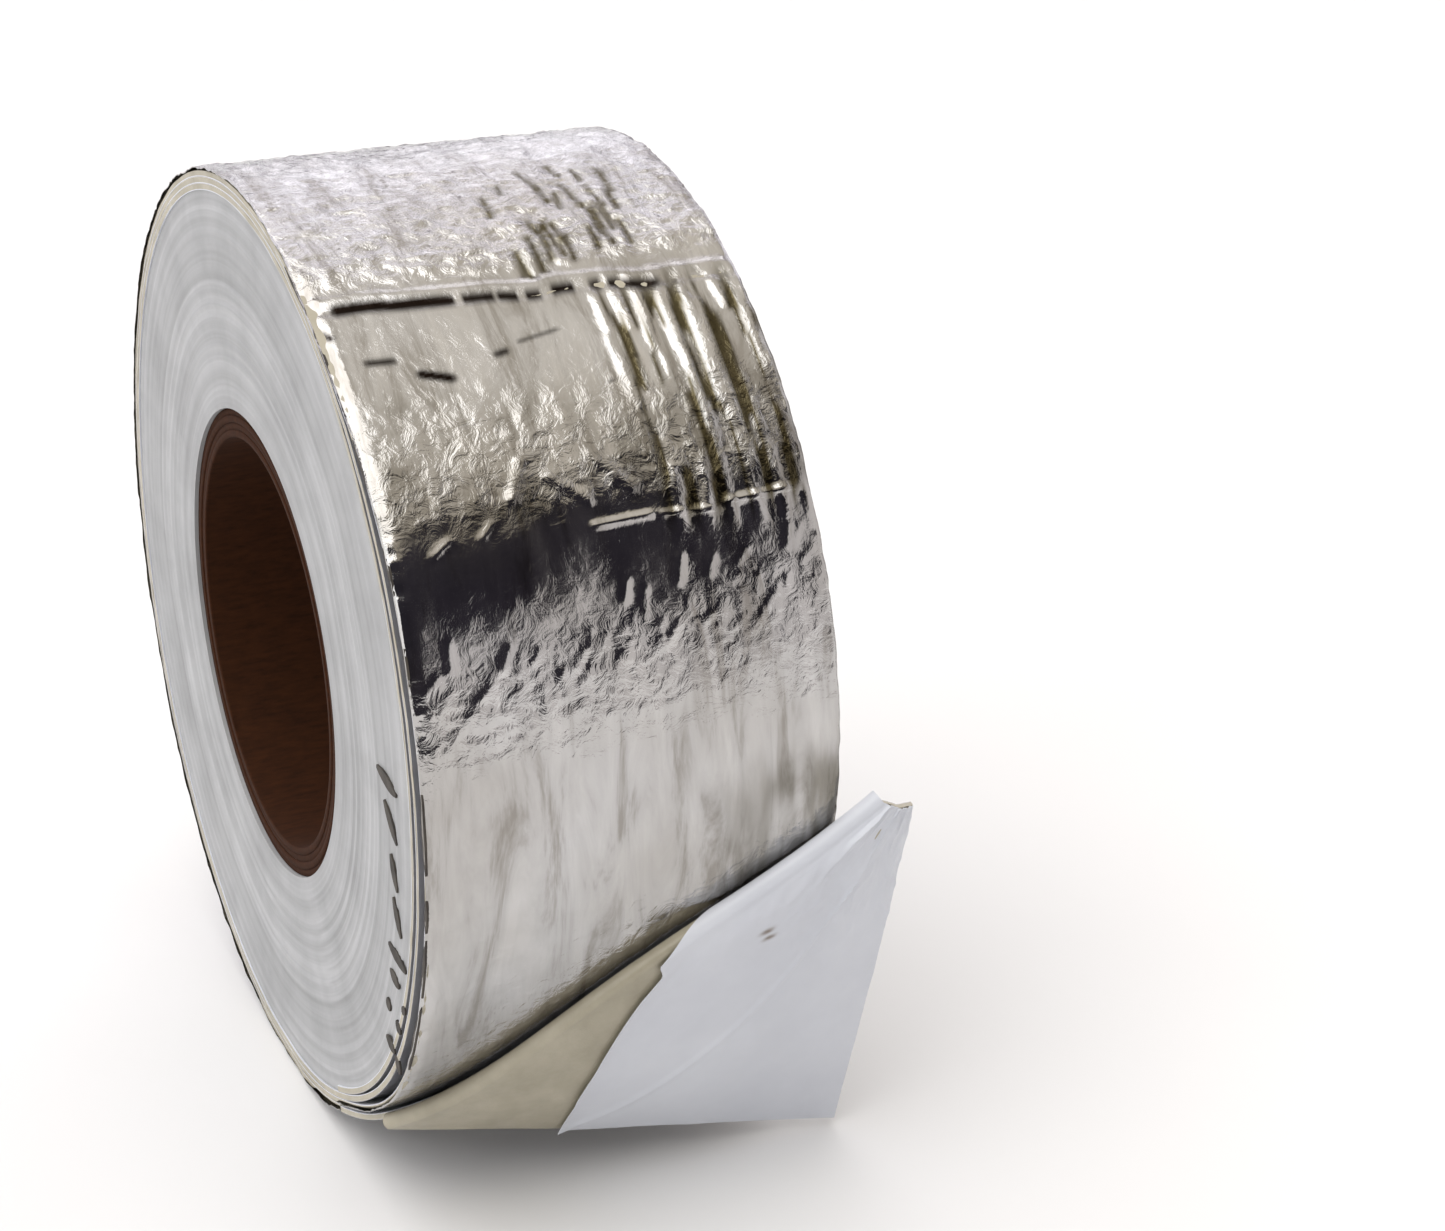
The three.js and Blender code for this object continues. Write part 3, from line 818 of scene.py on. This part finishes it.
def flap(s, v):
    e = 0.02
    place = flap_place(s, v)
    ds = flap_place(np.minimum(1, s + e), v) - flap_place(np.maximum(0, s - e), v)
    dv = flap_place(s, np.minimum(1, v + e)) - flap_place(s, np.maximum(0, v - e))
    face = unit(np.cross(dv, ds))
    face = np.where(face[..., 0:1] < 0, -face, face)
    _, into0 = bend(s, 180 + 0 * s)
    return place, unit(lerp(into0, face, smooth(v * 4)[..., None]))


def under_fold(s, v):
    """The last stretch before the fold, from where it leaves the roll, v 0."""
    d = lerp(END_DEG + 0.3, fold_deg(s), v)
    y = lerp(lerp(-HALF, HALF, s), fold_y(s), v * v)
    place = on_roll(under_radius(d, y), d, y)
    into = on_roll(0.0 * d, 0.0 * d, y) - place
    into[..., 1] = 0
    return place, unit(into)


# The line of the flap's crease, and SIDE, which points from that line to the free corner
CREASE_LOW = flap_place(np.array(0.0), np.array(0.5))
CREASE_HIGH = flap_place(np.array(0.94), np.array(1.0))
LINE = unit(CREASE_HIGH - CREASE_LOW)
SIDE = unit(np.cross(LINE, flap(np.array(0.5), np.array(0.6))[1]))
if (END_LOW - CREASE_LOW) @ SIDE < 0:
    SIDE = -SIDE


def stretch(s, v):
    """The last stretch: v 0..1 under the fold, 1..2 round the bend, 2..3 over the flap."""
    p1, n1 = under_fold(s, np.clip(v, 0, 1))
    p2, n2 = bend(s, 180 * np.clip(v - 1, 0, 1))
    p3, n3 = flap(s, np.clip(v - 2, 0, 1))
    use2 = ((v > 1) & (v <= 2))[..., None]
    use3 = (v > 2)[..., None]
    return np.where(use3, p3, np.where(use2, p2, p1)), np.where(use3, n3, np.where(use2, n2, n1))


def soft_crease(s):
    """Where the soft crease crosses the flap, as a share of the way to its end."""
    return 0.36 + 0.21 * np.sin(0.9 * np.pi * s)


def flap_relief(s, v):
    """How the soft flap departs from its plain sheet, in mm, along its face."""
    t = np.clip(v - 2, 0, 1)
    h = 0.7 * (fbm(s * 2.2 + 4, t * 2.2, 91, 2) - 0.5) * smooth(t * 5)
    # beyond the soft crease across it, the flap leans back
    beyond = W * (t - soft_crease(s))
    return h - 0.055 * 0.5 * (beyond + np.hypot(beyond, 0.8)) + 0.05


def blend_across(obj):
    """Bake the piece's place into its mesh."""
    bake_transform(obj)


def folded_pieces():
    """Foil and butyl of the last stretch, round the fold and over the flap, and the
    liner under it up to the fold."""
    us = np.linspace(0, 1, 80)
    vs = np.concatenate([np.linspace(0, 1, 26), np.linspace(1, 2, 12)[1:],
                         np.linspace(2.012, 3, 76)])
    s, v = np.meshgrid(us, vs, indexing="ij")
    p, n = stretch(s, v)
    h = flap_relief(s, v)
    frill = 0.10 * (ridged(s * 30, v * 6, 95, 2) - 0.4) * smooth(v / 0.2)
    lump = 0.18 * (fbm(s * 9, v * 9, 97, 3) - 0.5)
    for name, slot, d0, d1, nodes, outer, inner in (
            ("foil_tail", "foil", 0.0, FOIL_T, ("foil_fold", "foil_corner"), frill, 0),
            ("mastic_tail", "mastic", FOIL_T, FOIL_T + MASTIC_T,
             ("mastic_fold", "mastic_corner"), 0, lump)):
        obj = sheet_solid(name, p + n * (d0 + h + outer)[..., None],
                          p + n * (d1 + h + inner)[..., None], flip=True)
        set_uv(obj, np.tile((s * 0.09).ravel(), 2), np.tile((v * 0.06).ravel(), 2))
        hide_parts(*nodes)
        finish_piece(obj, slot)
        blend_across(obj)
    p, n = stretch(*np.meshgrid(us, np.linspace(0, 1, 20), indexing="ij"))
    obj = sheet_solid("liner_under", p + n * (FOIL_T + MASTIC_T), p + n * PITCH, flip=True)
    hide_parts("liner_fold")
    finish_piece(obj, "liner", "roll")


LINER_WRAPS = 0.46


def liner_edge(s):
    """Share of the flap from the fold at which the liner starts."""
    return 0.35 * np.power(1 - np.minimum(1, s / 0.56), 1.1) + 0.012


def liner_piece():
    """The liner on the flap. Low down it starts past the fold; above LINER_WRAPS it
    goes round the fold with the butyl."""
    us = np.linspace(0, 1, 130)
    round_bend = smooth((us - LINER_WRAPS) / 0.24)
    bend_part = np.linspace(0, 1, 12)[:-1]
    flat_part = np.concatenate([[0], np.linspace(0.004, 1, 110)])
    s, w = np.meshgrid(us, np.concatenate([bend_part - 1, flat_part]), indexing="ij")
    wrap = np.repeat(round_bend[:, None], w.shape[1], 1)
    edge = liner_edge(s) + 0.010 * (fbm(s * 9, s * 0, 101, 3) - 0.5) * (1 - wrap)
    on_bend = 2 + np.minimum(w * 0.93, 0) * wrap + (edge + 0.0006 * (w + 1)) * (1 - wrap)
    on_flap = 2 + lerp(edge * np.where(w > 0, 1, 1 - wrap), 1.0, np.clip(w, 0, 1))
    v = np.where(w < 0, on_bend, on_flap)
    v = np.maximum.accumulate(v + np.arange(v.shape[1]) * 1e-6, axis=1)
    p, n = stretch(s, np.minimum(v, 3))
    # it stands off the butyl along its edge, and lies close round the fold
    lift = 0.3 + 0.45 * np.exp(-(np.clip(w, 0, 1) / 0.03) ** 2) * (1 - wrap)
    lift = lerp(lift, 0.06, wrap * (1 - smooth((v - 2) / 0.2)))
    # small wrinkles near the top corner, and the soft crease across the sheet
    t = np.clip(v - 2, 0, 1)
    fine = ridged(s * 7 + t * 3, t * 3.4, 103, 3) - 0.4
    wrinkles = 1.1 * smooth((s - 0.45) / 0.3) * smooth(t * 6) * fine
    wrinkles = wrinkles + 0.25 * smooth(t * 6) * (ridged(s * 5 + 3, t * 4, 109, 2) - 0.4)
    crease = 0.35 * np.exp(-((t - soft_crease(s)) / 0.012) ** 2) * smooth(t * 8)
    depth = FOIL_T + MASTIC_T + lift + flap_relief(s, v) + wrinkles + crease
    base = p + n * depth[..., None]
    obj = sheet_solid("liner_flap_sheet", base, base + n * LINER_T, flip=True)
    specks = np.maximum(stroke(s * 100, t * 70, 62.5, 18, 62.8, 18.6, 1.2),
                        stroke(s * 100, t * 70, 60.6, 21.6, 60.9, 22.2, 1.1))
    set_field(obj, "crease_shade_and_specks", np.tile(specks.ravel(), 2))
    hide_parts("liner_flap", "liner_corner")
    finish_piece(obj, "liner")
    blend_across(obj)


# Slits of painted shade on the -Y side where turns part, dark leaves laid on the side: x and z
# of the middle from the roll's centre, length and slope down toward the front
SLITS = ((72, 4, 9.5, 8), (73, -3, 8, 46), (73.5, -12, 6.5, 66), (74, -20, 7, 64),
         (73, -28, 8.5, 9), (71, -33, 4.5, 20), (67, -40, 2.4, 70), (75, -37, 1.6, 40),
         (71.7, -42, 2.6, 44), (67, -47.8, 4.4, 16), (70.5, -50, 3.4, 60))
SLIT_WIDTH = 2.3
# Dashes of painted shade, dark leaves where the gap behind the last turn's near edge
# shows dark: its two angles up the front, and its width
GAP_DASHES = ((96, 87, 1.3), (84, 80, 1.2), (79, 71, 1.0), (69, 58, 1.1), (112, 107, 0.9),
              (121, 116, 1.1), (133, 127, 0.9), (146, 140, 0.9), (158, 151, 0.7))
DASH_STEPS = 9


def add_dash(verts, faces, r0, d0, r1, d1, width):
    """A thin leaf on the -Y side, from radius r0 at angle d0 to r1 at d1."""
    y, thick = -HALF - 0.02, 0.35
    a, b = on_roll(r0, d0, y), on_roll(r1, d1, y)
    ahead = unit(b - a)
    across = np.array([ahead[2], 0, -ahead[0]])
    base = len(verts)
    for k in range(DASH_STEPS):
        t = k / (DASH_STEPS - 1)
        w = width * math.sin(math.pi * min(0.97, max(0.03, t))) ** 0.6 / 2
        jig = 0.15 * (lattice(np.array([k]), np.array([base]), 7)[0] - 0.5)
        for sign in (-1, 1):
            q = lerp(a, b, t) + across * (w * sign + jig)
            verts += [[q[0], y, q[2]], [q[0], y + thick, q[2]]]
    for k in range(DASH_STEPS - 1):
        i = base + 4 * k
        j = i + 4
        faces += [[i, j, j + 2, i + 2], [i + 1, i + 3, j + 3, j + 1],
                  [i, i + 1, j + 1, j], [i + 2, j + 2, j + 3, i + 3]]
    i, j = base, base + 4 * (DASH_STEPS - 1)
    faces += [[i, i + 2, i + 3, i + 1], [j, j + 1, j + 3, j + 2]]


def side_gaps():
    """Dark leaves of painted shade along the side where loose turns part, and the dashes by the
    front edge.
    """
    verts, faces = [], []
    for cx, cz, size, slope in SLITS:
        dx = math.cos(math.radians(slope)) * size / 2
        dz = math.sin(math.radians(slope)) * size / 2
        ends = []
        for sign in (-1, 1):
            x, z = cx + sign * dx, cz - sign * dz
            ends += [math.hypot(x, z), math.degrees(math.atan2(x, -z))]
        add_dash(verts, faces, *ends, SLIT_WIDTH)
    for d0, d1, width in GAP_DASHES:
        r0, r1 = (ROLL_R - 1.5 + looseness(d, 0, -HALF) for d in (d0, d1))
        add_dash(verts, faces, r0, d0, r1, d1, width)
    obj = new_object("side_gap_shade", np.array(verts), faces, smooth_shade=False)
    finish_piece(obj, "mastic", "roll", "dark")


wound_sides()
core_tube()
outer_strips()
foil_tread()
folded_pieces()
liner_piece()
side_gaps()


# ---- floor, world and lights ----------------------------------------------------------
def add_stage():
    """A pale round floor, just under the roll."""
    segs, rings, z = 96, (0.25, 0.6, 1.2, 2.4), -0.0004
    verts = [(0, 0, z)]
    for r in rings:
        for k in range(segs):
            a = 2 * math.pi * k / segs
            verts.append((r * math.cos(a), r * math.sin(a), z))
    faces = [(0, 1 + k, 1 + (k + 1) % segs) for k in range(segs)]
    for q in range(len(rings) - 1):
        for k in range(segs):
            a, b = 1 + q * segs + k, 1 + q * segs + (k + 1) % segs
            faces.append((a, a + segs, b + segs, b))
    mesh = bpy.data.meshes.new("floor")
    mesh.from_pydata(verts, [], faces)
    floor = bpy.data.objects.new("floor", mesh)
    bpy.context.scene.collection.objects.link(floor)
    m = Mat("floor", (0.9, 0.9, 0.9), 0.9)
    m.link(m.grey(m.noise(m.coords(), 2), 0.75, 0.77), m.b.inputs["Base Color"])
    m.b.inputs["Specular IOR Level"].default_value = 0.0
    floor.data.materials.append(m.m)


# The studio round the roll, as colour ramps over the direction of a ray. WALL is
# read at its z. REST is read at its height, from 0, straight down, to 1, straight
# up. UNDER is read at that height less 0.8 of its y, and is white where the front
# gets FLOOR_LIGHT. DAPPLE breaks up the light from the sides and back.
WALL = [(0.0, (0.05, 0.045, 0.055)), (0.45, (0.03, 0.027, 0.036)), (0.69, (0.05, 0.046, 0.055)),
        (0.72, (0.40, 0.36, 0.29)), (0.79, (0.86, 0.79, 0.69)), (0.90, (0.93, 0.87, 0.77)),
        (1.0, (1.1, 1.05, 0.97))]
UNDER = [(0.245, (1, 1, 1)), (0.265, (0, 0, 0))]
FLOOR_LIGHT = (0.86, 0.82, 0.81, 1)
REST = [(0.0, (0.8, 0.8, 0.8)), (0.49, (0.8, 0.8, 0.8)), (0.53, (1.3, 1.29, 1.33)),
        (0.75, (1.75, 1.72, 1.80)), (0.90, (1.6, 1.56, 1.54)), (1.0, (1.2, 1.16, 1.12))]
DAPPLE = [(0.43, (0.33, 0.31, 0.33)), (0.53, (1.2, 1.19, 1.22))]


def add_world():
    """White to the camera. To everything else, a studio: pale floor light below,
    a dark strip low in front, a warm wall above it, a white ceiling and back."""
    world = bpy.data.worlds.new("world")
    bpy.context.scene.world = world
    world.use_nodes = True
    t = world.node_tree
    t.nodes.clear()

    def node(kind, sockets=(), **props):
        """A node with its numbered inputs set to values or linked."""
        n = t.nodes.new(kind)
        for k, v in props.items():
            setattr(n, k, v)
        for k, x in dict(sockets).items():
            if isinstance(x, (int, float, tuple)):
                n.inputs[k].default_value = x
            else:
                t.links.new(x, n.inputs[k])
        return n

    def scaled(a, times, plus):
        sockets = {0: a, 1: times, 2: plus}
        return node("ShaderNodeMath", sockets, operation="MULTIPLY_ADD").outputs[0]

    def mix(amount, a, b, blend="MIX"):
        sockets = {0: amount, 6: a, 7: b}
        n = node("ShaderNodeMix", sockets, data_type="RGBA", blend_type=blend)
        return n.outputs[2]

    ahead = node("ShaderNodeTexCoord").outputs["Generated"]
    x, y, z = node("ShaderNodeSeparateXYZ", {0: ahead}).outputs
    half_z = scaled(z, 0.5, 0.5)
    # in front: the dark part's lower edge climbs toward +Y
    under = add_ramp(t, scaled(y, -0.8, half_z), UNDER)
    front = mix(under, add_ramp(t, z, WALL), FLOOR_LIGHT)
    cloud = node("ShaderNodeTexNoise", {"Vector": ahead, "Scale": 7.0, "Detail": 3.0}).outputs[0]
    rest = mix(1.0, add_ramp(t, half_z, REST), add_ramp(t, cloud, DAPPLE), "MULTIPLY")
    face = node("ShaderNodeMapRange", {0: x, 1: -0.50, 2: -0.20}, interpolation_type="SMOOTHSTEP")
    studio = mix(face.outputs[0], rest, front)
    sky = node("ShaderNodeBackground", {0: studio, 1: 1.0})
    white = node("ShaderNodeBackground", {0: (1, 1, 1, 1)})
    seen = node("ShaderNodeLightPath").outputs["Is Camera Ray"]
    both = node("ShaderNodeMixShader", {0: seen, 1: sky.outputs[0], 2: white.outputs[0]})
    node("ShaderNodeOutputWorld", {0: both.outputs[0]})


def sun(name, direction, power, angle):
    light = bpy.data.lights.new(name, "SUN")
    light.energy = power
    light.angle = math.radians(angle)
    obj = bpy.data.objects.new(name, light)
    bpy.context.scene.collection.objects.link(obj)
    obj.matrix_world = Vector(direction).to_track_quat("-Z", "Y").to_matrix().to_4x4()


add_stage()
add_world()
sun("overhead", (-0.15, 0.35, -1.0), 1.9, 70)
sun("side_fill", (-0.35, 1.0, -0.35), 0.9, 50)

bpy.context.scene.view_settings.view_transform = "Standard"
